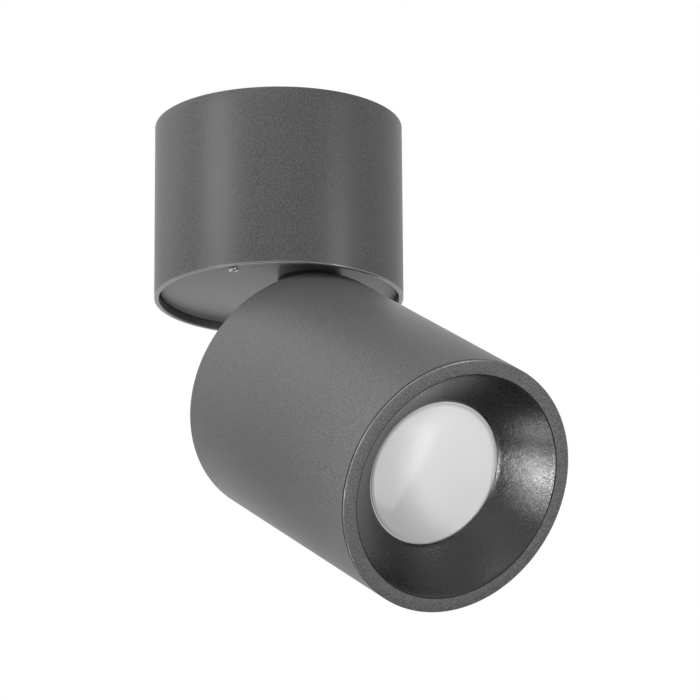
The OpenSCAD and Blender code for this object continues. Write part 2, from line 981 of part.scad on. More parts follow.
ceiling_bracket();
canopy_tube();
side_screws();
swivel_bridge();
bridge_screws();
stop_pin();
terminal_block();
terminal_screws();
block_screws();
supply_leads();
earth_lead();
earth_terminal();
swivel_carrier();
glide_ring();
bottom_plate();
plate_screws();
swivel_nipple();
wave_washer();
stop_washer();
lock_nut();
hinge_arm();
arm_screws();
swivel_leads();
head_tube();
rear_cap();
cap_screws();
hinge_screw();
hinge_nut();
friction_washers();
lead_bush();
head_leads();
holder_bracket();
bracket_screws();
lampholder();
holder_screws();
lamp_body();
lamp_pins();
lamp_cover();
front_bezel();
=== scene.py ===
"""Surface mounted ceiling spotlight: modelled shells, finishes, light and camera.

Lengths are written in millimetres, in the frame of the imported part: the origin lies on the
ceiling plane at the canopy's centre, +Z points up, and the head tilts towards +X. Pieces of
the head are drawn hanging straight down and then turned about the tilt hinge. Only the
lamps' places and sizes and the camera's reach are written in metres.
"""

import json
import logging
import math
from dataclasses import dataclass
from enum import Enum

import bpy
import numpy as np
from mathutils import Matrix, Vector

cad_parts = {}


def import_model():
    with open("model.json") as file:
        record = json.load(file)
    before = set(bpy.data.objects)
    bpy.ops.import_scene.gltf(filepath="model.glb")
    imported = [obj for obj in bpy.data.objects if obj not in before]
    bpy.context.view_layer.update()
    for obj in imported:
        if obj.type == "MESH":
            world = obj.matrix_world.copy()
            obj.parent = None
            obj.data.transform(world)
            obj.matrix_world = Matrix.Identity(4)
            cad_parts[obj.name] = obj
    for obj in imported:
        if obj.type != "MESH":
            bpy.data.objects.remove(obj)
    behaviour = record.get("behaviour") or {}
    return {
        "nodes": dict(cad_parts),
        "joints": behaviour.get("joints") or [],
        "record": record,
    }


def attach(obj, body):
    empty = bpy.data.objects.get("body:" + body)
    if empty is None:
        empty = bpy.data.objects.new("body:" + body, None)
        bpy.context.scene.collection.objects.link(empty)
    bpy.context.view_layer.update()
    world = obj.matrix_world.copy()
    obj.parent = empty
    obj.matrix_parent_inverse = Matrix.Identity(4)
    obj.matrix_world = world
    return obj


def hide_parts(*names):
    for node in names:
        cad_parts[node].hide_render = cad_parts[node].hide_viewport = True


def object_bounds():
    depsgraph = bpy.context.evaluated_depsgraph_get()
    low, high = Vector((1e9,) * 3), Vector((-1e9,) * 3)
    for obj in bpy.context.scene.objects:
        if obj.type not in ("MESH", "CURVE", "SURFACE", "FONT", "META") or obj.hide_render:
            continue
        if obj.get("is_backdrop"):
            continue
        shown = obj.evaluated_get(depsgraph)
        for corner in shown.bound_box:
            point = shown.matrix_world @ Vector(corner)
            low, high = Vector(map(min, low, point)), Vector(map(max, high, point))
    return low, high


LOG = logging.getLogger("spotlight")
MM = 0.001
SEGMENTS = 256
FILLET_STEPS = 5
SMOOTH_ANGLE = math.radians(32)

# Sockets of a Mix node that mixes colours: their names are shared with its other modes
MIX_A = 6
MIX_B = 7
MIX_RESULT = 2

# Vertices in millimetres, shape (n, 3), and faces
Surface = tuple[np.ndarray, np.ndarray | list]
Materials = dict[str, bpy.types.Material]


class Body(Enum):
    """The rigid bodies that pieces ride on."""

    CANOPY = "canopy"
    SWIVEL = "swivel"
    HEAD = "head"


class Slot(Enum):
    """Material slots of the record that the modelled pieces take their finish from."""

    COAT = "powder_coat"
    BLACK = "black_coat"
    BRIGHT = "bright_steel"
    OPAL = "opal_cover"


# Shader nodes, and the groups that several finishes share


def new_group(name: str, inputs: dict, outputs: dict) -> tuple:
    """Makes an empty shader node group with named sockets.

    Args:
        name: Name of the group.
        inputs: Socket name to (socket type, default value or None).
        outputs: Socket name to socket type.

    Returns:
        The group, its input node and its output node.
    """
    group = bpy.data.node_groups.new(name, "ShaderNodeTree")
    for label, (kind, value) in inputs.items():
        socket = group.interface.new_socket(label, in_out="INPUT", socket_type=kind)
        if value is not None:
            socket.default_value = value
    for label, kind in outputs.items():
        group.interface.new_socket(label, in_out="OUTPUT", socket_type=kind)
    return group, group.nodes.new("NodeGroupInput"), group.nodes.new("NodeGroupOutput")


def noise_node(tree: bpy.types.NodeTree, detail: float, roughness: float) -> bpy.types.Node:
    """Adds a noise texture.

    Args:
        tree: The node tree.
        detail: Number of its octaves.
        roughness: Weight of the fine ones.

    Returns:
        The new node.
    """
    node = tree.nodes.new("ShaderNodeTexNoise")
    node.inputs["Detail"].default_value = detail
    node.inputs["Roughness"].default_value = roughness
    return node


def math_node(tree: bpy.types.NodeTree, operation: str, second: float = 0.0) -> bpy.types.Node:
    """Adds a maths node.

    Args:
        tree: The node tree.
        operation: Name of the operation.
        second: Its second value, which counts until something is linked there.

    Returns:
        The new node.
    """
    node = tree.nodes.new("ShaderNodeMath")
    node.operation = operation
    node.inputs[1].default_value = second
    return node


def range_node(tree: bpy.types.NodeTree, value: bpy.types.NodeSocket,
               ends: dict) -> bpy.types.NodeSocket:
    """Adds a node that carries a value over from one range to another.

    Args:
        tree: The node tree.
        value: Socket with the value.
        ends: Socket name to value, for the ends that aren't 0 and 1.

    Returns:
        The socket with the result.
    """
    node = tree.nodes.new("ShaderNodeMapRange")
    for label, end in ends.items():
        node.inputs[label].default_value = end
    tree.links.new(value, node.inputs["Value"])
    return node.outputs["Result"]


def place_group(tree: bpy.types.NodeTree, group: bpy.types.NodeTree,
                where: bpy.types.NodeSocket, values: dict) -> bpy.types.Node:
    """Places a shared group in a material.

    Args:
        tree: The material's node tree.
        group: The shared group.
        where: Socket with the object coordinates.
        values: Input name to value.

    Returns:
        The new node.
    """
    node = tree.nodes.new("ShaderNodeGroup")
    node.node_tree = group
    for label, value in values.items():
        node.inputs[label].default_value = value
    tree.links.new(where, node.inputs["Vector"])
    return node


def powder_grain_group() -> bpy.types.NodeTree:
    """The fine orange-peel and sand of a powder coat.

    Height is the sum of a fine noise, the sand, and a weaker one a third as fine, the peel.
    Speckle is the sand pushed to its extremes, for tiny changes of gloss.

    Returns:
        The node group.
    """
    peel_part = 0.33
    peel_weight = 0.55
    speckle_ends = {"From Min": 0.38, "From Max": 0.66}
    group, source, sink = new_group(
        "powder_grain",
        {"Vector": ("NodeSocketVector", None), "Grains per metre": ("NodeSocketFloat", 1800.0)},
        {"Height": "NodeSocketFloat", "Speckle": "NodeSocketFloat"},
    )
    links = group.links
    sand = noise_node(group, detail=2.0, roughness=0.6)
    peel = noise_node(group, detail=1.0, roughness=0.5)
    coarser = math_node(group, "MULTIPLY", peel_part)
    weaker = math_node(group, "MULTIPLY", peel_weight)
    total = math_node(group, "ADD")
    for noise in (sand, peel):
        links.new(source.outputs["Vector"], noise.inputs["Vector"])
    links.new(source.outputs["Grains per metre"], sand.inputs["Scale"])
    links.new(source.outputs["Grains per metre"], coarser.inputs[0])
    links.new(coarser.outputs[0], peel.inputs["Scale"])
    links.new(peel.outputs["Fac"], weaker.inputs[0])
    links.new(sand.outputs["Fac"], total.inputs[0])
    links.new(weaker.outputs[0], total.inputs[1])
    links.new(total.outputs[0], sink.inputs["Height"])
    speckle = range_node(group, sand.outputs["Fac"], speckle_ends)
    links.new(speckle, sink.inputs["Speckle"])
    return group


def tone_group() -> bpy.types.NodeTree:
    """Slow cloudy change between two colours, with the fine flecks of the surface in it.

    Returns:
        The node group, with the Colour.
    """
    group, source, sink = new_group(
        "cloudy_tone",
        {
            "Vector": ("NodeSocketVector", None),
            "Clouds per metre": ("NodeSocketFloat", 40.0),
            "Flecks": ("NodeSocketFloat", 0.5),
            "Fleck share": ("NodeSocketFloat", 0.5),
            "Darker": ("NodeSocketColor", None),
            "Lighter": ("NodeSocketColor", None),
        },
        {"Colour": "NodeSocketColor"},
    )
    links = group.links
    clouds = noise_node(group, detail=3.0, roughness=0.55)
    links.new(source.outputs["Vector"], clouds.inputs["Vector"])
    links.new(source.outputs["Clouds per metre"], clouds.inputs["Scale"])
    blend = group.nodes.new("ShaderNodeMix")
    links.new(source.outputs["Fleck share"], blend.inputs["Factor"])
    links.new(clouds.outputs["Fac"], blend.inputs["A"])
    links.new(source.outputs["Flecks"], blend.inputs["B"])
    mix = group.nodes.new("ShaderNodeMix")
    mix.data_type = "RGBA"
    links.new(blend.outputs["Result"], mix.inputs["Factor"])
    links.new(source.outputs["Darker"], mix.inputs[MIX_A])
    links.new(source.outputs["Lighter"], mix.inputs[MIX_B])
    links.new(mix.outputs[MIX_RESULT], sink.inputs["Colour"])
    return group


def scratch_group() -> bpy.types.NodeTree:
    """Drawn scratches: noise that is stretched along one direction of the object.

    Returns:
        The node group, with Height between 0 and 1.
    """
    group, source, sink = new_group(
        "drawn_scratches",
        {
            "Vector": ("NodeSocketVector", None),
            "Stretch": ("NodeSocketVector", (2500.0, 150.0, 2500.0)),
        },
        {"Height": "NodeSocketFloat"},
    )
    scale = group.nodes.new("ShaderNodeVectorMath")
    scale.operation = "MULTIPLY"
    lines = noise_node(group, detail=3.0, roughness=0.6)
    lines.inputs["Scale"].default_value = 1.0
    group.links.new(source.outputs["Vector"], scale.inputs[0])
    group.links.new(source.outputs["Stretch"], scale.inputs[1])
    group.links.new(scale.outputs[0], lines.inputs["Vector"])
    group.links.new(lines.outputs["Fac"], sink.inputs["Height"])
    return group


class SharedEffects:
    """The node groups, each built once and placed in every finish that uses it."""

    def __init__(self) -> None:
        """Builds the groups."""
        self.grain = powder_grain_group()
        self.tone = tone_group()
        self.scratches = scratch_group()


@dataclass(frozen=True)
class Finish:
    """A painted or moulded finish, and the constants that every finish has.

    Attributes:
        name: Name of the Blender material.
        darker: Linear colour of its darker clouds.
        lighter: Linear colour of its lighter clouds.
        gloss_low: Roughness of the smoothest places.
        gloss_high: Roughness of the dullest places.
        metallic: 1 for bare metal, else 0.
        bump_mm: Height of the surface's grain in millimetres.
        grains: Grains per metre.
        clouds: Colour clouds per metre.
        flecks: Share of the fine grain in the colour, the clouds having the rest.
        coat: Weight of a clear glossy layer.
        coat_gloss: Roughness of that layer.
        specular: Strength of the shader's mirror part.
    """

    name: str
    darker: tuple[float, float, float]
    lighter: tuple[float, float, float]
    gloss_low: float = 0.4
    gloss_high: float = 0.5
    metallic: float = 0.0
    bump_mm: float = 0.01
    grains: float = 1500.0
    clouds: float = 40.0
    flecks: float = 0.3
    coat: float = 0.0
    coat_gloss: float = 0.06
    specular: float = 0.5

    def height(self, tree: bpy.types.NodeTree, where: bpy.types.NodeSocket,
               effects: SharedEffects) -> tuple:
        """Places the group that gives the grain.

        Args:
            tree: The material's node tree.
            where: Socket with the object coordinates.
            effects: The shared node groups.

        Returns:
            The sockets of the height and of the mask for the roughness.
        """
        grain = place_group(tree, effects.grain, where, {"Grains per metre": self.grains})
        return grain.outputs["Height"], grain.outputs["Speckle"]

    def make(self, effects: SharedEffects) -> bpy.types.Material:
        """Builds the material.

        Args:
            effects: The shared node groups.

        Returns:
            The finished material.
        """
        material = bpy.data.materials.new(self.name)
        material.use_nodes = True
        tree = material.node_tree
        tree.nodes.clear()
        links = tree.links
        out = tree.nodes.new("ShaderNodeOutputMaterial")
        shader = tree.nodes.new("ShaderNodeBsdfPrincipled")
        links.new(shader.outputs["BSDF"], out.inputs["Surface"])
        where = tree.nodes.new("ShaderNodeTexCoord").outputs["Object"]

        height, mask = self.height(tree, where, effects)
        tone = place_group(tree, effects.tone, where, {
            "Clouds per metre": self.clouds,
            "Darker": (*self.darker, 1.0),
            "Lighter": (*self.lighter, 1.0),
            "Fleck share": self.flecks,
        })
        links.new(mask, tone.inputs["Flecks"])
        links.new(tone.outputs["Colour"], shader.inputs["Base Color"])

        gloss = range_node(tree, mask, {"To Min": self.gloss_low, "To Max": self.gloss_high})
        links.new(gloss, shader.inputs["Roughness"])

        bump = tree.nodes.new("ShaderNodeBump")
        bump.inputs["Strength"].default_value = 1.0
        bump.inputs["Distance"].default_value = self.bump_mm * MM
        links.new(height, bump.inputs["Height"])
        links.new(bump.outputs["Normal"], shader.inputs["Normal"])

        shader.inputs["Metallic"].default_value = self.metallic
        shader.inputs["Coat Weight"].default_value = self.coat
        shader.inputs["Coat Roughness"].default_value = self.coat_gloss
        shader.inputs["Specular IOR Level"].default_value = self.specular
        return material


@dataclass(frozen=True)
class DrawnMetal(Finish):
    """Bare metal with drawn scratches."""

    metallic: float = 1.0

    def height(self, tree: bpy.types.NodeTree, where: bpy.types.NodeSocket,
               effects: SharedEffects) -> tuple:
        """Places the scratches, which give both the height and the roughness mask.

        Args:
            tree: The material's node tree.
            where: Socket with the object coordinates.
            effects: The shared node groups.

        Returns:
            The socket of the scratches, for the height and for the mask.
        """
        lines = place_group(tree, effects.scratches, where, {})
        return lines.outputs["Height"], lines.outputs["Height"]


def grey(value: float) -> tuple[float, float, float]:
    """Linear grey colour."""
    return (value, value, value)


# Name, darker and lighter colour, roughness from and to, and then what is special
FINISHES = (
    Finish("powder_coat", (0.058, 0.058, 0.059), (0.114, 0.114, 0.115), 0.34, 0.46,
           bump_mm=0.03, grains=1900.0, flecks=0.85, specular=0.28),
    Finish("ring_coat", (0.036, 0.036, 0.037), (0.124, 0.124, 0.125), 0.34, 0.50,
           bump_mm=0.06, grains=1900.0, flecks=0.95),
    # The plate's coat, painted far lighter than the housing's to stand in for light bouncing
    # onto its downward face: painted light.
    Finish("plate_coat_painted_light", grey(0.235), grey(0.265), 0.32, 0.38, bump_mm=0.003),
    # The recess wall under the ledge, painted lighter than the housing's coat so that it and its
    # reflection in the plate read lighter: painted light.
    Finish("recess_painted_light", grey(0.12), grey(0.14), 0.4, 0.5),
    # The canopy's lower rim, painted a light grey so that it reads as a bright line: painted
    # highlight.
    Finish("rim_painted_highlight", grey(0.24), grey(0.30), 0.14, 0.2, bump_mm=0.006, specular=0.8),
    Finish("edge_coat", (0.050, 0.050, 0.051), (0.126, 0.126, 0.127), 0.18, 0.26,
           grains=1900.0, flecks=0.6, specular=0.8),
    # The cone, painted far darker than the housing's coat to stand in for the shade inside it:
    # painted shade.
    Finish("cone_painted_shade", (0.005, 0.005, 0.006), (0.013, 0.013, 0.014), 0.21, 0.31,
           bump_mm=0.08, grains=1900.0, flecks=0.8),
    # Near black for the seams, a dark joint, and for the ring's inner edge, where it is painted
    # shade.
    Finish("joint_and_edge_shade", grey(0.010), grey(0.014), 0.5, 0.6, specular=0.15),
    Finish("black_coat", grey(0.010), grey(0.014), 0.28, 0.36, bump_mm=0.008, grains=1600.0),
    DrawnMetal("zinc_steel", (0.50, 0.51, 0.49), (0.60, 0.61, 0.58), 0.28, 0.44,
               bump_mm=0.004),
    DrawnMetal("bright_steel", grey(0.62), grey(0.72), 0.14, 0.26, bump_mm=0.002),
    DrawnMetal("brass_parts", (0.60, 0.43, 0.17), (0.70, 0.52, 0.24), 0.2, 0.32,
               bump_mm=0.003),
    Finish("connector_plastic", (0.66, 0.63, 0.55), (0.72, 0.69, 0.61), 0.42, 0.52,
           bump_mm=0.006),
    Finish("nylon", (0.70, 0.69, 0.64), (0.76, 0.75, 0.70), 0.4, 0.5, bump_mm=0.004),
    Finish("bush_rubber", grey(0.012), grey(0.018), 0.55, 0.68),
    Finish("lead_sleeve", (0.075, 0.032, 0.018), (0.09, 0.040, 0.022), 0.42, 0.5,
           bump_mm=0.004),
    Finish("earth_sleeve", (0.06, 0.16, 0.02), (0.08, 0.19, 0.03), 0.42, 0.5, bump_mm=0.004),
    Finish("holder_ceramic", (0.74, 0.72, 0.67), (0.80, 0.78, 0.73), 0.5, 0.62,
           bump_mm=0.012),
    Finish("lamp_housing", grey(0.74), grey(0.78), 0.24, 0.32, bump_mm=0.003, coat=0.3),
    Finish("opal_cover", grey(0.69), grey(0.72), 0.30, 0.36, bump_mm=0.0015, clouds=25.0,
           coat=0.6),
)


# Surfaces


def rounded_outline(points: list, radii: list, closed: bool = True) -> np.ndarray:
    """Outline whose corners are rounded by tangent arcs.

    At a corner p between unit directions u and v to its neighbours, with half angle h, the
    arc of radius r starts at distance r / tan(h) from p on both sides, and its centre lies
    at distance r / sin(h) along the bisector. The arc's points go from one tangent point to
    the other at equal steps of angle. A radius of 0 keeps the corner.

    Args:
        points: Corners as (radius, height) in millimetres.
        radii: Radius of each corner in millimetres.
        closed: Whether the last corner joins the first.

    Returns:
        Array of the outline's points, shape (n, 2).
    """
    corners = np.asarray(points, float)
    count = len(corners)
    pieces = []
    for i, (corner, radius) in enumerate(zip(corners, radii)):
        at_end = not closed and i in (0, count - 1)
        if radius <= 0 or at_end:
            pieces.append(corner[None, :])
            continue
        before = corners[i - 1] - corner
        after = corners[(i + 1) % count] - corner
        u = before / np.linalg.norm(before)
        v = after / np.linalg.norm(after)
        half = math.acos(float(np.clip(u @ v, -1, 1))) / 2
        bisector = (u + v) / np.linalg.norm(u + v)
        centre = corner + bisector * radius / math.sin(half)
        start = corner + u * radius / math.tan(half) - centre
        end = corner + v * radius / math.tan(half) - centre
        sweep = math.atan2(start[0] * end[1] - start[1] * end[0], float(start @ end))
        turn = np.linspace(0, sweep, FILLET_STEPS)[:, None]
        side = np.array([-start[1], start[0]])
        pieces.append(centre + np.cos(turn) * start + np.sin(turn) * side)
    return np.vstack(pieces)


def grid_faces(rows: int, columns: int, wrap_rows: bool, wrap_columns: bool) -> np.ndarray:
    """Quads of a grid of points: each joins a point, the next in its row, and those below.

    Args:
        rows: Rows of points.
        columns: Points in a row.
        wrap_rows: Whether the last row joins the first.
        wrap_columns: Whether the last point of a row joins its first.

    Returns:
        Indices of the quads' corners, shape (n, 4), row after row.
    """
    r = np.arange(rows if wrap_rows else rows - 1)
    c = np.arange(columns if wrap_columns else columns - 1)
    row, column = np.meshgrid(r, c, indexing="ij")
    next_row = (row + 1) % rows
    next_column = (column + 1) % columns
    quads = [row * columns + column, row * columns + next_column,
             next_row * columns + next_column, next_row * columns + column]
    return np.stack(quads, -1).reshape(-1, 4)


def revolve(outline: np.ndarray, closed: bool = True, segments: int = SEGMENTS,
            first_angle: float = 0.0) -> Surface:
    """Surface of an outline turned about the vertical axis.

    The point at angle a of an outline point (r, z) is (r cos a, r sin a, z).

    Args:
        outline: Points (radius, height), running counter-clockwise round the material.
        closed: Whether the outline is a closed loop.
        segments: Steps round the axis.
        first_angle: Angle of the first column of points.

    Returns:
        Vertices and quads.
    """
    angle = first_angle + np.linspace(0, 2 * math.pi, segments, endpoint=False)
    radius, height = outline.T
    x = np.outer(radius, np.cos(angle))
    y = np.outer(radius, np.sin(angle))
    z = np.repeat(height[:, None], segments, 1)
    vertices = np.stack([x, y, z], -1).reshape(-1, 3)
    return vertices, grid_faces(len(outline), segments, closed, True)


def revolve_solid(outline: np.ndarray, segments: int = SEGMENTS) -> Surface:
    """Surface of a solid that reaches the vertical axis, closed by a fan at each pole.

    Args:
        outline: Points (radius, height) from the axis round the material and back to it,
            counter-clockwise, the first and the last on the axis.
        segments: Steps round the axis.

    Returns:
        Vertices and faces.
    """
    points, quads = revolve(outline[1:-1], closed=False, segments=segments)
    first = np.arange(segments)
    last = len(points) - segments + first
    start = len(points)
    end = start + 1
    fans = [[start, int(b), int(a)] for a, b in zip(first, np.roll(first, -1))]
    fans += [[int(a), int(b), end] for a, b in zip(last, np.roll(last, -1))]
    poles = [[0, 0, outline[0, 1]], [0, 0, outline[-1, 1]]]
    return np.vstack([points, poles]), [*quads.tolist(), *fans]


def block_columns(column: int, cells: int) -> np.ndarray:
    """Columns of a square block of cells whose middle column of points is given."""
    return (column - cells // 2 + np.arange(cells + 1)) % SEGMENTS


def block_border(top_row: int, step: int, column: int, cells: int) -> np.ndarray:
    """Indices of the points round a square block of a turned wall's cells.

    Args:
        top_row: Row of the block's upper border.
        step: Change of the row towards the lower border, 1 or -1.
        column: Column of points through the block's middle.
        cells: Cells along each side.

    Returns:
        Indices, from the upper left corner along the upper border and on round the block.
    """
    walk = np.arange(cells)
    zero = np.zeros(cells, int)
    full = np.full(cells, cells)
    down = np.concatenate([zero, walk, full, cells - walk])
    along = np.concatenate([walk, full, cells - walk, zero])
    return (top_row + step * down) * SEGMENTS + block_columns(column, cells)[along]


def drill_wall(surface: Surface, top_rows: tuple, columns: tuple, cells: int,
               hole_r: float) -> Surface:
    """Opens round holes through a turned wall, from its outer to its inner side.

    On each side a square block of cells gives way to rings that lead from its border to
    the hole. A border point at sideways distance w and height v from the hole's middle
    keeps its direction (w, v) and goes to distance d = r + p (hypot(w, v) - r) from the
    middle, with p = 1/2 and then 0. On the wall of radius R a point at sideways distance w
    lies at distance sqrt(R^2 - w^2) along the hole from the vertical axis.

    Args:
        surface: Vertices and quads of the turned wall, the quads lying row after row.
        top_rows: Row of the blocks' upper border on the outer and on the inner side. The
            outline climbs on the outer side and falls on the inner one.
        columns: Column of points through the middle of each hole.
        cells: Cells along each side of a block.
        hole_r: Radius of the holes.

    Returns:
        Vertices and quads with the holes in them.
    """
    points, quads = surface
    keep = np.ones(len(quads), bool)
    rings = []
    for column in columns:
        outer = block_border(top_rows[0], -1, column, cells)
        inner = block_border(top_rows[1], 1, column, cells)
        height = points[outer, 2].mean()
        along = points[outer].mean(0) * [1, 1, 0]
        along /= np.linalg.norm(along)
        aside = np.array([-along[1], along[0], 0])
        w = points[outer] @ aside
        v = points[outer, 2] - height
        reach = np.hypot(w, v)
        loops = [outer]
        for border, parts in ((outer, (0.5, 0.0)), (inner, (0.0, 0.5))):
            wall_r = np.hypot(*points[border[0], :2])
            for part in parts:
                distance = hole_r + (reach - hole_r) * part
                side = w / reach * distance
                ring = np.sqrt(wall_r ** 2 - side ** 2)[:, None] * along
                ring += side[:, None] * aside
                ring[:, 2] = height + v / reach * distance
                loops.append(len(points) + np.arange(len(ring)))
                points = np.vstack([points, ring])
        loops.append(inner)
        for a, b in zip(loops, loops[1:]):
            rings.append(np.stack([a, b, np.roll(b, -1), np.roll(a, -1)], -1))
        for first in (top_rows[0] - cells, top_rows[1]):
            rows = first + np.arange(cells)[:, None]
            keep[rows * SEGMENTS + block_columns(column, cells)[:-1]] = False
    return points, np.vstack([quads[keep], *rings])


def extrude_y(outline: np.ndarray, half_width: float, bevel: float) -> Surface:
    """Plate with an outline in the XZ plane, rounded towards both of its faces.

    Layer k lies at y = w - b + b sin(t) and its outline is drawn in by b (1 - cos(t))
    towards the outline's middle, with t from 0 to a quarter turn, on both sides.

    Args:
        outline: Points (x, z) in millimetres, counter-clockwise seen from -Y.
        half_width: Half of the plate's thickness w.
        bevel: Size b of the rounding.

    Returns:
        Vertices and faces, the two ends included.
    """
    turn = np.linspace(0, math.pi / 2, FILLET_STEPS)
    offset = half_width - bevel + bevel * np.sin(turn)
    inset = bevel * (1 - np.cos(turn))
    layer_y = np.concatenate([-offset[::-1], offset])
    layer_inset = np.concatenate([inset[::-1], inset])
    following = np.roll(outline, -1, 0) - np.roll(outline, 1, 0)
    inward = np.stack([-following[:, 1], following[:, 0]], -1)
    inward /= np.linalg.norm(inward, axis=1)[:, None]
    plane = outline[None] + inward[None] * layer_inset[:, None, None]
    y = np.repeat(layer_y[:, None], len(outline), 1)
    vertices = np.stack([plane[..., 0], y, plane[..., 1]], -1).reshape(-1, 3)
    sides = grid_faces(len(layer_y), len(outline), False, True)
    first = list(range(len(outline)))
    last = [len(vertices) - len(outline) + i for i in first]
    return vertices, [*sides[:, ::-1].tolist(), first, last[::-1]]


def joined(*parts: Surface) -> Surface:
    """Puts several surfaces in one mesh.

    Args:
        parts: The surfaces.

    Returns:
        Vertices and faces of all of them.
    """
    vertices = []
    faces = []
    start = 0
    for points, polygons in parts:
        vertices.append(points)
        faces.extend([[int(i) + start for i in polygon] for polygon in polygons])
        start += len(points)
    return np.vstack(vertices), faces


def paint(piece: bpy.types.Object, finish: bpy.types.Material, chosen: np.ndarray) -> None:
    """Gives some faces of a piece a finish of their own.

    Args:
        piece: The piece.
        finish: The finish.
        chosen: For each face whether it takes the finish.
    """
    index = np.empty(len(piece.data.polygons), dtype=np.int32)
    piece.data.polygons.foreach_get("material_index", index)
    index[chosen] = len(piece.data.materials)
    piece.data.materials.append(finish)
    piece.data.polygons.foreach_set("material_index", index)


def band_mask(piece: bpy.types.Object, bands: slice) -> np.ndarray:
    """Marks the faces of some bands of a turned surface.

    Band i joins the points i and i + 1 of the outline, and the faces lie band after band.

    Args:
        piece: The turned piece.
        bands: The bands.

    Returns:
        For each face whether it lies in one of them.
    """
    chosen = np.zeros(len(piece.data.polygons), bool)
    chosen.reshape(-1, SEGMENTS)[bands] = True
    return chosen


def face_places(piece: bpy.types.Object) -> tuple[np.ndarray, np.ndarray]:
    """Tells where the faces of a piece lie.

    Args:
        piece: The piece.

    Returns:
        Distance from the vertical axis and height of each face's middle, in millimetres.
    """
    centre = np.empty(3 * len(piece.data.polygons))
    piece.data.polygons.foreach_get("center", centre)
    x, y, z = centre.reshape(-1, 3).T / MM
    return np.hypot(x, y), z


def make_piece(name: str, surface: Surface, finish: bpy.types.Material, body: Body,
               replaces: tuple = ()) -> bpy.types.Object:
    """Makes an object from a surface, dresses it and ties it to its body.

    Args:
        name: Name of the piece.
        surface: Vertices in millimetres and faces.
        finish: Its material.
        body: The rigid body that it rides on.
        replaces: CAD nodes that it stands for.

    Returns:
        The new object.
    """
    vertices, faces = surface
    mesh = bpy.data.meshes.new(name)
    corners = [list(map(int, face)) for face in faces]
    mesh.from_pydata((np.asarray(vertices) * MM).tolist(), [], corners)
    mesh.validate()
    mesh.shade_smooth()
    mesh.set_sharp_from_angle(angle=SMOOTH_ANGLE)
    mesh.materials.append(finish)
    piece = bpy.data.objects.new(name, mesh)
    bpy.context.scene.collection.objects.link(piece)
    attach(piece, body.value)
    if replaces:
        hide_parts(*replaces)
    LOG.info("%s: %d vertices, rides on %s", name, len(mesh.vertices), body.value)
    return piece


@dataclass
class HingePlace:
    """Where the tilt hinge lies and how the head is turned about it at rest.

    Attributes:
        x: Distance of the hinge axis from the canopy's axis.
        z: Height of the hinge axis, below the ceiling.
        inset: Distance of the hinge axis from the head's rear face.
        tilt_deg: Tilt of the head from straight down.
    """

    x: float
    z: float
    inset: float = 5.35
    tilt_deg: float = 59.0

    def turn(self, surface: Surface) -> Surface:
        """Moves a surface from the head's own frame to its place.

        With c and s the cosine and sine of the tilt, a point (x, y, z) taken from the hinge
        goes to (c x - s z, y, s x + c z), and the hinge's place is added again.

        Args:
            surface: A surface of the head, which hangs straight down with its rear face at
                height 0 and its axis through the origin.

        Returns:
            The surface at its place.
        """
        points = np.array(surface[0], float)
        c = math.cos(math.radians(self.tilt_deg))
        s = math.sin(math.radians(self.tilt_deg))
        dx = points[:, 0] - self.x
        dz = points[:, 2] + self.inset
        turned = np.stack([c * dx - s * dz + self.x, points[:, 1], s * dx + c * dz + self.z], -1)
        return turned, surface[1]


@dataclass
class Canopy:
    """The round housing on the ceiling.

    Attributes:
        outer_r: Outer radius.
        height: Height from the ceiling to the lower rim.
        wall: Wall thickness.
        ledge_w: Width of the inner ledge.
        ledge_top: Depth of the ledge's upper face.
        ledge_t: Thickness of the ledge.
        rim_r: Rounding of the rims.
        hole_r: Radius of the two holes for the grub screws.
        hole_depth: Depth of their middle below the ceiling.
        hole_angle_deg: Direction of the first hole.
        hole_cells: Cells of the wall's grid along each side of the patch round a hole.
    """

    outer_r: float = 40.0
    height: float = 58.3
    wall: float = 1.5
    ledge_w: float = 7.0
    ledge_top: float = 49.0
    ledge_t: float = 2.0
    rim_r: float = 0.35
    hole_r: float = 2.2
    hole_depth: float = 8.0
    hole_angle_deg: float = 55.0
    hole_cells: int = 8

    def shell(self) -> Surface:
        """The housing's wall and ledge, turned from one closed outline, with its holes.

        The outline has extra points on both sides of the wall, at equal heights across the
        holes, so that the cells there are square.

        Returns:
            Vertices and faces.
        """
        inner = self.outer_r - self.wall
        ledge_in = inner - self.ledge_w
        ledge_low = self.ledge_top + self.ledge_t
        reach = math.pi * self.outer_r * self.hole_cells / SEGMENTS
        stops = -self.hole_depth + np.linspace(reach, -reach, self.hole_cells + 1)
        flat = [0] * len(stops)
        outline = rounded_outline(
            [(inner, 0), *[(inner, z) for z in stops],
             (inner, -self.ledge_top), (ledge_in, -self.ledge_top),
             (ledge_in, -ledge_low), (inner, -ledge_low), (inner, -self.height),
             (self.outer_r, -self.height), *[(self.outer_r, z) for z in stops[::-1]],
             (self.outer_r, 0)],
            [self.rim_r, *flat, 0, self.rim_r, self.rim_r, 0, self.rim_r, self.rim_r, *flat,
             self.rim_r])
        inner_top, outer_top = np.flatnonzero(outline[:, 1] == stops[0])
        turned = revolve(outline, first_angle=math.radians(self.hole_angle_deg))
        return drill_wall(turned, (outer_top, inner_top), (0, SEGMENTS // 2), self.hole_cells,
                          self.hole_r)

    def build(self, finishes: Materials) -> None:
        """Makes the housing; its recess wall is painted lighter as painted light, its rim as a
        painted highlight.

        Args:
            finishes: The materials by name.
        """
        shell = make_piece("canopy_shell", self.shell(), finishes["powder_coat"],
                           Body.CANOPY, ("canopy_tube",))
        radius, height = face_places(shell)
        below_ledge = height < -self.ledge_top - self.ledge_t
        in_recess = below_ledge & (radius < self.outer_r - self.wall / 2)
        # Painted light: the recess wall under the ledge takes a lighter grey than the housing's
        # coat.
        paint(shell, finishes["recess_painted_light"], in_recess)
        # Painted highlight: the lower rim takes a light grey.
        paint(shell, finishes["rim_painted_highlight"], height < self.rim_r - self.height)


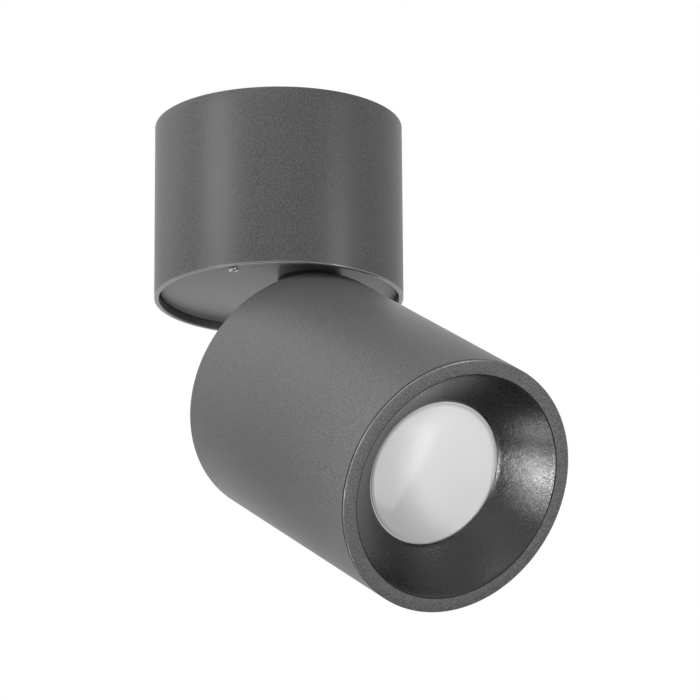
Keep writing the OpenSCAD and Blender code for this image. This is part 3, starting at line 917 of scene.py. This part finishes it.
@dataclass
class SwivelPlate:
    """The recessed plate and the hinge arm under it.

    Attributes:
        radius: Radius of the plate.
        low: Depth of its lower face below the ceiling.
        thickness: Its thickness.
        edge_r: Rounding of its edge and of the bore's.
        boss_x: Place of the boss on the X axis.
        boss_r: Radius of the boss.
        boss_low: Depth of its lower face.
        boss_edge_r: Rounding of its lower edge and of the neck.
        bore_r: Radius of the hole for the leads.
        knuckle_r: Radius of the hinge knuckle.
        knuckle_half: Half of its width.
        knuckle_points: Points of its outline.
        neck_far: Distance of the neck's far side from the hinge axis.
        neck_near: Distance of its near side.
        screw_ring_r: Radius of the circle on which the screws lie.
        screw_angle_deg: Direction of the screw that is seen.
        screw_count: Number of screws.
        head_r: Radius of a screw's head.
        head_h: Height of the head.
        head_fall: Part of that height by which its edge lies lower.
        head_points: Points of its outline.
        head_segments: Steps round it.
        drive_w: Width of the cross recess's arms.
        drive_depth: Depth of the recess.
        drive_reach: Length of its arms as a part of the head's radius.
    """

    radius: float = 38.2
    low: float = 55.8
    thickness: float = 2.0
    edge_r: float = 0.3
    boss_x: float = 16.8
    boss_r: float = 10.2
    boss_low: float = 61.0
    boss_edge_r: float = 0.5
    bore_r: float = 3.5
    knuckle_r: float = 4.6
    knuckle_half: float = 6.0
    knuckle_points: int = 28
    neck_far: float = 12.2
    neck_near: float = 6.0
    screw_ring_r: float = 29.5
    screw_angle_deg: float = -65.0
    screw_count: int = 3
    head_r: float = 1.5
    head_h: float = 1.1
    head_fall: float = 0.55
    head_points: int = 24
    head_segments: int = 96
    drive_w: float = 0.45
    drive_depth: float = 0.6
    drive_reach: float = 0.62

    def plate(self) -> Surface:
        """The round plate, closed over its middle.

        Returns:
            Vertices and faces.
        """
        top = self.thickness - self.low
        outline = rounded_outline(
            [(0, -self.low), (self.radius, -self.low), (self.radius, top), (0, top)],
            [0, self.edge_r, self.edge_r, 0])
        return revolve_solid(outline)

    def boss(self) -> Surface:
        """The round boss with its rounded lower edge and its bore.

        Returns:
            Vertices and faces.
        """
        outline = rounded_outline(
            [(self.bore_r, -self.boss_low), (self.boss_r, -self.boss_low),
             (self.boss_r, -self.low), (self.bore_r, -self.low)],
            [self.edge_r, self.boss_edge_r, 0, 0])
        points, faces = revolve(outline, segments=SEGMENTS // 2)
        points[:, 0] += self.boss_x
        return points, faces

    def neck(self, hinge: HingePlace) -> Surface:
        """The neck and the round knuckle as one rounded plate.

        The outline runs from the boss down to the knuckle's circle, which it follows from
        its top round to the lower left, where the neck's far side begins.

        Args:
            hinge: Place of the hinge, which the knuckle lies round.

        Returns:
            Vertices and faces.
        """
        top = math.pi / 2
        lower_left = -3 * math.pi / 4
        rise = -self.boss_low - hinge.z + self.edge_r
        turn = np.linspace(top, lower_left, self.knuckle_points)
        circle = np.stack([self.knuckle_r * np.cos(turn), self.knuckle_r * np.sin(turn)], -1)
        corner = rounded_outline(
            [(-self.neck_near, rise), (-self.neck_near, self.knuckle_r), (0, self.knuckle_r)],
            [0, self.boss_edge_r, 0], closed=False)[:-1]
        far = np.array([[-self.neck_far, rise]])
        outline = np.vstack([far, corner, circle])[::-1]
        return extrude_y(outline + [hinge.x, hinge.z], self.knuckle_half, self.boss_edge_r)

    def screw_head(self) -> Surface:
        """A pan head with a cross recess, seen from below.

        With the head's height h and radius R, the outline's depth at radius r is
        h (1 - f (1 - sqrt(1 - (r / R)^4))), f being its fall. A point within half the drive
        width of either arm of the cross, and inside the arm's length, is then pushed in.

        Returns:
            Vertices and faces, with the head's seat at height 0.
        """
        r = np.linspace(0, self.head_r, self.head_points)
        fall = 1 - np.sqrt(1 - (r / self.head_r) ** 4)
        dome = np.stack([r, -self.head_h * (1 - self.head_fall * fall)], -1)
        outline = np.vstack([dome, [[self.head_r, 0], [0, 0]]])
        points, faces = revolve_solid(outline, segments=self.head_segments)
        x, y, z = points.T
        in_cross = (np.minimum(abs(x), abs(y)) < self.drive_w / 2) & (z < 0)
        in_cross &= np.hypot(x, y) < self.drive_reach * self.head_r
        points[:, 2] += np.where(in_cross, self.drive_depth, 0.0)
        return points, faces

    def screws(self) -> Surface:
        """The heads of the plate's screws, at equal angles from the one that is seen.

        Returns:
            Vertices and faces.
        """
        heads = []
        for i in range(self.screw_count):
            angle = math.radians(self.screw_angle_deg + 360 / self.screw_count * i)
            points, faces = self.screw_head()
            shift = [self.screw_ring_r * math.cos(angle), self.screw_ring_r * math.sin(angle),
                     -self.low]
            heads.append((points + shift, faces))
        return joined(*heads)

    def build(self, finishes: Materials, hinge: HingePlace) -> None:
        """Makes the plate, its screws and the arm.

        Args:
            finishes: The materials by name.
            hinge: Place of the hinge.
        """
        # The plate takes a lighter grey than the housing's coat: painted light on its downward
        # face.
        make_piece("swivel_plate", self.plate(), finishes["plate_coat_painted_light"], Body.SWIVEL,
                   ("bottom_plate",))
        make_piece("arm_casting", joined(self.boss(), self.neck(hinge)),
                   finishes["black_coat"], Body.SWIVEL, ("hinge_arm",))
        make_piece("plate_screw_heads", self.screws(), finishes["bright_steel"], Body.SWIVEL,
                   ("plate_screws",))


@dataclass
class Head:
    """The round housing of the lamp, with its front ring and cone.

    Attributes:
        outer_r: Outer radius.
        length: Length from the rear face to the front ring's face.
        wall: Wall thickness.
        ring_t: Thickness of the front ring.
        ring_w: Width of the ring's face.
        inner_edge_r: Rounding of the ring's inner edge.
        outer_edge_r: Rounding of its outer edge.
        cone_depth: Depth of the cone.
        hole_r: Radius of the cone's opening.
        cone_wall: Wall thickness of the cone.
        cone_bulge: How far the cone's side bulges out from the straight line.
        cone_steps: Bands of the cone's side.
        rim_r: Rounding of the other edges.
        seam: Width of the joint line behind the ring.
        spigot_t: Wall thickness of the spigot that enters the housing.
        spigot_l: Length of the spigot.
        spigot_gap: Gap between the spigot and the housing.
    """

    outer_r: float = 40.0
    length: float = 93.5
    wall: float = 1.5
    ring_t: float = 0.8
    ring_w: float = 4.6
    inner_edge_r: float = 0.5
    outer_edge_r: float = 0.45
    cone_depth: float = 13.7
    hole_r: float = 22.3
    cone_wall: float = 1.5
    cone_bulge: float = 0.55
    cone_steps: int = 14
    rim_r: float = 0.3
    seam: float = 0.22
    spigot_t: float = 1.4
    spigot_l: float = 8.0
    spigot_gap: float = 0.1

    def tube(self) -> Surface:
        """The round wall, open at both ends.

        Returns:
            Vertices and faces, in the head's own frame.
        """
        inner = self.outer_r - self.wall
        front = self.ring_t + self.seam / 2 - self.length
        outline = rounded_outline(
            [(inner, 0), (inner, front), (self.outer_r, front), (self.outer_r, 0)],
            [self.rim_r, 0, self.seam, self.rim_r])
        return revolve(outline)

    def bezel(self) -> Surface:
        """The front ring, the cone and the spigot, turned from one closed outline.

        The outline ends with the cone's inner side, a parabola between its two edges: at
        part t of the chord it lies 4 b t (1 - t) outside it, b being its bulge.

        Returns:
            Vertices and faces, in the head's own frame.
        """
        inner_r = self.outer_r - self.ring_w
        spigot_r = self.outer_r - self.wall - self.spigot_gap
        flange = self.ring_t - self.seam / 2 - self.length
        cone_low = self.cone_depth - self.length
        spigot_top = self.spigot_l + flange
        outline = rounded_outline(
            [(inner_r, -self.length), (self.outer_r, -self.length), (self.outer_r, flange),
             (spigot_r, flange), (spigot_r, spigot_top),
             (spigot_r - self.spigot_t, spigot_top), (spigot_r - self.spigot_t, flange),
             (self.hole_r + self.cone_wall, cone_low), (self.hole_r, cone_low)],
            [self.inner_edge_r, self.outer_edge_r, self.seam, 0, 0, 0, 0, self.rim_r,
             self.rim_r])
        chord = outline[0] - outline[-1]
        outward = np.array([-chord[1], chord[0]]) / np.linalg.norm(chord)
        part = np.linspace(0, 1, self.cone_steps + 1)[1:-1, None]
        cone = outline[-1] + part * chord + 4 * self.cone_bulge * part * (1 - part) * outward
        return revolve(np.vstack([outline, cone]))

    def build(self, finishes: Materials, hinge: HingePlace) -> None:
        """Makes the housing and ring, and paints their seam, edges and cone; inner edge and cone
        are painted shade.

        A rounded corner has FILLET_STEPS points in the outline, and a sharp one a single
        point, which tells where the bands of each edge begin and end.

        Args:
            finishes: The materials by name.
            hinge: Place of the hinge.
        """
        shell = make_piece("head_shell", hinge.turn(self.tube()), finishes["powder_coat"],
                           Body.HEAD, ("head_tube",))
        bezel = make_piece("bezel_cone", hinge.turn(self.bezel()), finishes["powder_coat"],
                           Body.HEAD, ("front_bezel",))
        arc = FILLET_STEPS
        shell_seam = slice(arc, 2 * arc - 1)
        ring_seam = slice(3 * arc - 3, 3 * arc)
        inner_edge = slice(0, arc - 1)
        ring_face = slice(arc - 1, arc)
        outer_edge = slice(arc, 2 * arc - 1)
        cone = slice(-self.cone_steps, None)
        # The seams take a dark joint colour; the ring's inner edge and the cone are painted
        # shade.
        paint(shell, finishes["joint_and_edge_shade"], band_mask(shell, shell_seam))
        for name, bands in (("joint_and_edge_shade", ring_seam), ("cone_painted_shade", cone),
                            ("joint_and_edge_shade", inner_edge), ("ring_coat", ring_face),
                            ("edge_coat", outer_edge)):
            paint(bezel, finishes[name], band_mask(bezel, bands))


@dataclass
class Lamp:
    """The opal front of the reflector lamp behind the cone.

    Attributes:
        radius: Outer radius of the lamp.
        wall: Wall thickness of its housing, which holds the cover's flange.
        front: Distance of the housing's front from the head's rear face.
        flange_t: Thickness of the flange.
        cover_r: Radius of the cover in front of its flange.
        lip_w: Width of the flat lip round the dome.
        lip_run: Width of the bevel at the lip's outer edge.
        lip_rise: Height of that bevel.
        groove: Depth of the lip below the dome's edge.
        groove_run: Width of the slope between them.
        dome_h: Height of the dome over the housing's front.
        dome_fall: Part of that height by which its edge lies lower.
        dome_points: Points of its outline.
    """

    radius: float = 25.0
    wall: float = 1.6
    front: float = 79.5
    flange_t: float = 1.2
    cover_r: float = 22.0
    lip_w: float = 0.7
    lip_run: float = 0.2
    lip_rise: float = 0.25
    groove: float = 0.12
    groove_run: float = 0.15
    dome_h: float = 1.6
    dome_fall: float = 0.75
    dome_points: int = 40

    def cover(self) -> Surface:
        """The opal dome with the flat lip round it and the flange behind.

        With the dome's height h, fall f and radius R, its height at distance r from the
        axis is h (1 - f (r / R)^2).

        Returns:
            Vertices and faces, in the head's own frame.
        """
        dome_r = self.cover_r - self.lip_w
        flange_r = self.radius - self.wall
        back = self.flange_t - self.front
        r = np.linspace(0, dome_r, self.dome_points)
        height = self.dome_h * (1 - self.dome_fall * (r / dome_r) ** 2)
        dome = np.stack([r, -self.front - height], -1)
        lip = dome[-1, 1] + self.groove
        rim = np.array([
            [dome_r + self.groove_run, lip],
            [self.cover_r - self.lip_run, lip],
            [self.cover_r, lip + self.lip_rise],
            [self.cover_r, -self.front],
            [flange_r, -self.front],
            [flange_r, back],
            [0, back],
        ])
        return revolve_solid(np.vstack([dome, rim]))

    def build(self, finishes: Materials, hinge: HingePlace) -> None:
        """Makes the opal cover.

        Args:
            finishes: The materials by name.
            hinge: Place of the hinge.
        """
        make_piece("opal_dome", hinge.turn(self.cover()), finishes["opal_cover"], Body.HEAD,
                   ("lamp_cover",))


@dataclass
class Hardware:
    """The CAD nodes, dressed by their material slot. Those that aren't replaced are seen.

    Attributes:
        nodes: Each node's object by its name.
        slots: Each node's material slot by its name.
    """

    nodes: dict[str, bpy.types.Object]
    slots: dict[str, str]

    def dress(self, finishes: Materials) -> None:
        """Gives each node the finish of its slot.

        Args:
            finishes: The materials by name.
        """
        for name, node in self.nodes.items():
            finish = finishes[self.slots[name]]
            if node.data.materials:
                for i in range(len(node.data.materials)):
                    node.data.materials[i] = finish
            else:
                node.data.materials.append(finish)
            LOG.info("%s: dressed as %s", name, finish.name)


@dataclass(frozen=True)
class SoftBox:
    """A rectangular lamp that faces a point of the object.

    Attributes:
        name: Name of the lamp.
        direction: Its direction from that point, along the camera's right, up and backward
            axes.
        distance: Its distance from that point in metres.
        size: Width and height in metres.
        watts: Power.
        target: The point, in metres.
        spread_deg: Angle of its beam, which a honeycomb grid narrows.
    """

    name: str
    direction: tuple[float, float, float]
    distance: float
    size: tuple[float, float]
    watts: float
    target: tuple[float, float, float]
    spread_deg: float = 180.0

    def place(self, axes: tuple) -> None:
        """Adds the lamp to the scene.

        Args:
            axes: The camera's right, up and forward axes.
        """
        right, up, forward = axes
        way = self.direction[0] * right + self.direction[1] * up - self.direction[2] * forward
        way = way / np.linalg.norm(way)
        data = bpy.data.lights.new(self.name, "AREA")
        data.shape = "RECTANGLE"
        data.size = self.size[0]
        data.size_y = self.size[1]
        data.energy = self.watts
        data.spread = math.radians(self.spread_deg)
        light = bpy.data.objects.new(self.name, data)
        bpy.context.scene.collection.objects.link(light)
        light.location = (np.array(self.target) + way * self.distance).tolist()
        light.rotation_mode = "QUATERNION"
        light.rotation_quaternion = Vector((-way).tolist()).to_track_quat("-Z", "Y")


# Points that the lamps face
MIDDLE = (0.03, 0.0, -0.09)
LOW_MIDDLE = (0.05, 0.0, -0.14)
PLATE = (0.0, 0.0, -0.056)
CONE_SIDE = (0.104, 0.018, -0.136)
RING_SIDE = (0.0866, -0.0384, -0.1500)

# Name, direction, distance, size, power, target and angle of the beam
SOFT_BOXES = (
    SoftBox("left_back", (-0.88, 0.22, -0.42), 1.0, (0.7, 0.5), 0.06, LOW_MIDDLE, 44.0),
    SoftBox("left_top", (-0.66, 0.68, -0.30), 1.0, (0.8, 0.8), 0.45, LOW_MIDDLE, 60.0),
    SoftBox("left_front", (-0.79, 0.41, 0.45), 1.0, (0.6, 0.6), 0.60, LOW_MIDDLE, 40.0),
    SoftBox("right", (0.79, 0.18, 0.50), 1.6, (0.35, 0.8), 9.0, MIDDLE),
    SoftBox("window", (0.68, -0.44, 0.50), 1.5, (0.55, 0.42), 2.8, MIDDLE),
    SoftBox("below", (-0.42, -0.88, 0.20), 0.7, (0.3, 0.3), 0.052, PLATE, 16.0),
    SoftBox("glint_low", (-0.49, -0.64, 0.59), 0.45, (0.07, 0.1), 0.0065, CONE_SIDE, 13.0),
    SoftBox("glint", (-0.58, -0.42, 0.70), 0.45, (0.07, 0.1), 0.0150, CONE_SIDE, 13.0),
    SoftBox("glint_high", (-0.52, -0.15, 0.84), 0.45, (0.07, 0.1), 0.0046, CONE_SIDE, 13.0),
    SoftBox("edge", (-0.445, -0.52, 0.73), 0.45, (0.05, 0.12), 0.0018, RING_SIDE, 7.0),
    SoftBox("front", (-0.2, 0.88, 0.42), 1.1, (1.0, 1.0), 1.15, MIDDLE, 60.0),
    SoftBox("fill", (0.0, 0.35, 0.94), 1.1, (0.5, 0.5), 0.04, LOW_MIDDLE, 50.0),
)


@dataclass
class Studio:
    """Camera, lamps, world and floor.

    Attributes:
        azimuth_deg: Azimuth of the photograph's view.
        elevation_deg: Its elevation, below zero because it looks up from below.
        roll_deg: Roll of the camera.
        distance: Distance from the camera to the centre of the canopy's rim, along its view.
        aside: Place of that centre to the right of the camera's axis.
        above: Its place above the camera's axis.
        rim_depth: Depth of the canopy's rim below the ceiling.
        focal_px: Focal length in the photograph's pixels.
        frame_px: Width of the photograph in pixels.
        sensor_mm: Width of the camera's sensor.
        near_m: Nearest distance that the camera sees, in metres.
        far_m: Farthest distance that it sees, in metres.
        world_level: Strength of the world's light.
        floor_depth: Depth of the floor below the ceiling.
        floor_half: Half of the floor's width.
        floor_tone: Linear grey of the floor.
        floor_gloss: Roughness of the floor.
    """

    azimuth_deg: float = 53.26
    elevation_deg: float = -16.63
    roll_deg: float = -0.39
    distance: float = 1457.9
    aside: float = -22.82
    above: float = 16.12
    rim_depth: float = 58.3
    focal_px: float = 4543.8
    frame_px: float = 700.0
    sensor_mm: float = 36.0
    near_m: float = 0.05
    far_m: float = 50.0
    world_level: float = 0.16
    floor_depth: float = 2200.0
    floor_half: float = 3000.0
    floor_tone: float = 0.9
    floor_gloss: float = 0.9

    def axes(self) -> tuple[np.ndarray, np.ndarray, np.ndarray]:
        """The axes of the view, before the camera's roll.

        With azimuth a and elevation e, forward is (-sin a cos e, cos a cos e, -sin e),
        right is (cos a, sin a, 0), and up is the cross product of right and forward.

        Returns:
            The right, up and forward axes.
        """
        azimuth = math.radians(self.azimuth_deg)
        elevation = math.radians(self.elevation_deg)
        forward = np.array([-math.sin(azimuth) * math.cos(elevation),
                            math.cos(azimuth) * math.cos(elevation), -math.sin(elevation)])
        right = np.array([math.cos(azimuth), math.sin(azimuth), 0.0])
        return right, np.cross(right, forward), forward

    def camera(self) -> None:
        """Places the camera by its rolled axes, which are the columns of its matrix."""
        right, up, forward = self.axes()
        roll = math.radians(self.roll_deg)
        right_rolled = right * math.cos(roll) + up * math.sin(roll)
        up_rolled = up * math.cos(roll) - right * math.sin(roll)
        place = (np.array([0, 0, -self.rim_depth]) - self.aside * right_rolled
                 - self.above * up_rolled - self.distance * forward)
        data = bpy.data.cameras.new("camera")
        data.sensor_width = self.sensor_mm
        data.lens = self.focal_px * self.sensor_mm / self.frame_px
        data.clip_start = self.near_m
        data.clip_end = self.far_m
        camera = bpy.data.objects.new("camera", data)
        bpy.context.scene.collection.objects.link(camera)
        matrix = Matrix.Identity(4)
        for column, axis in enumerate((right_rolled, up_rolled, -forward, place * MM)):
            for row in range(3):
                matrix[row][column] = float(axis[row])
        camera.matrix_world = matrix
        bpy.context.scene.camera = camera

    def world(self) -> None:
        """White for the camera and for reflections, and a plain grey level for the light."""
        world = bpy.data.worlds.new("studio")
        bpy.context.scene.world = world
        world.use_nodes = True
        tree = world.node_tree
        tree.nodes.clear()
        out = tree.nodes.new("ShaderNodeOutputWorld")
        background = tree.nodes.new("ShaderNodeBackground")
        background.inputs["Color"].default_value = (1.0, 1.0, 1.0, 1.0)
        path = tree.nodes.new("ShaderNodeLightPath")
        seen = path.outputs["Is Camera Ray"]
        for ray in ("Is Glossy Ray", "Is Transmission Ray"):
            either = math_node(tree, "MAXIMUM")
            tree.links.new(seen, either.inputs[0])
            tree.links.new(path.outputs[ray], either.inputs[1])
            seen = either.outputs[0]
        strength = range_node(tree, seen, {"To Min": self.world_level, "To Max": 1.0})
        tree.links.new(strength, background.inputs["Strength"])
        tree.links.new(background.outputs["Background"], out.inputs["Surface"])

    def floor(self) -> None:
        """A pale floor far below, seen only in views from above."""
        half = self.floor_half * MM
        low = -self.floor_depth * MM
        mesh = bpy.data.meshes.new("floor")
        mesh.from_pydata([(-half, -half, low), (half, -half, low), (half, half, low),
                          (-half, half, low)], [], [(0, 1, 2, 3)])
        material = bpy.data.materials.new("floor")
        material.use_nodes = True
        shader = material.node_tree.nodes["Principled BSDF"]
        shader.inputs["Base Color"].default_value = (*grey(self.floor_tone), 1.0)
        shader.inputs["Roughness"].default_value = self.floor_gloss
        mesh.materials.append(material)
        floor = bpy.data.objects.new("floor", mesh)
        bpy.context.scene.collection.objects.link(floor)
        floor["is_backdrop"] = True

    def build(self) -> None:
        """Sets up everything that isn't the object."""
        bpy.context.scene.view_settings.view_transform = "Standard"
        self.camera()
        self.world()
        for box in SOFT_BOXES:
            box.place(self.axes())
        self.floor()


def main(frame: dict, cad_box: tuple) -> None:
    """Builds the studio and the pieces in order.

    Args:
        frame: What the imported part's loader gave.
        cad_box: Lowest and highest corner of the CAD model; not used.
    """
    logging.basicConfig(level=logging.INFO, format="%(name)s: %(message)s")
    Studio().build()
    effects = SharedEffects()
    finishes = {finish.name: finish.make(effects) for finish in FINISHES}
    tilt = next(joint for joint in frame["joints"] if joint["name"] == "head_tilt")
    hinge = HingePlace(tilt["pos_m"][0] / MM, tilt["pos_m"][2] / MM)
    slots = {row["node"]: row["material_slot"] for row in frame["record"]["subparts"]}
    Hardware(frame["nodes"], slots).dress(finishes)
    Canopy().build(finishes)
    SwivelPlate().build(finishes, hinge)
    Head().build(finishes, hinge)
    Lamp().build(finishes, hinge)


if __name__ == "__main__":
    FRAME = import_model()
    main(FRAME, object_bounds())
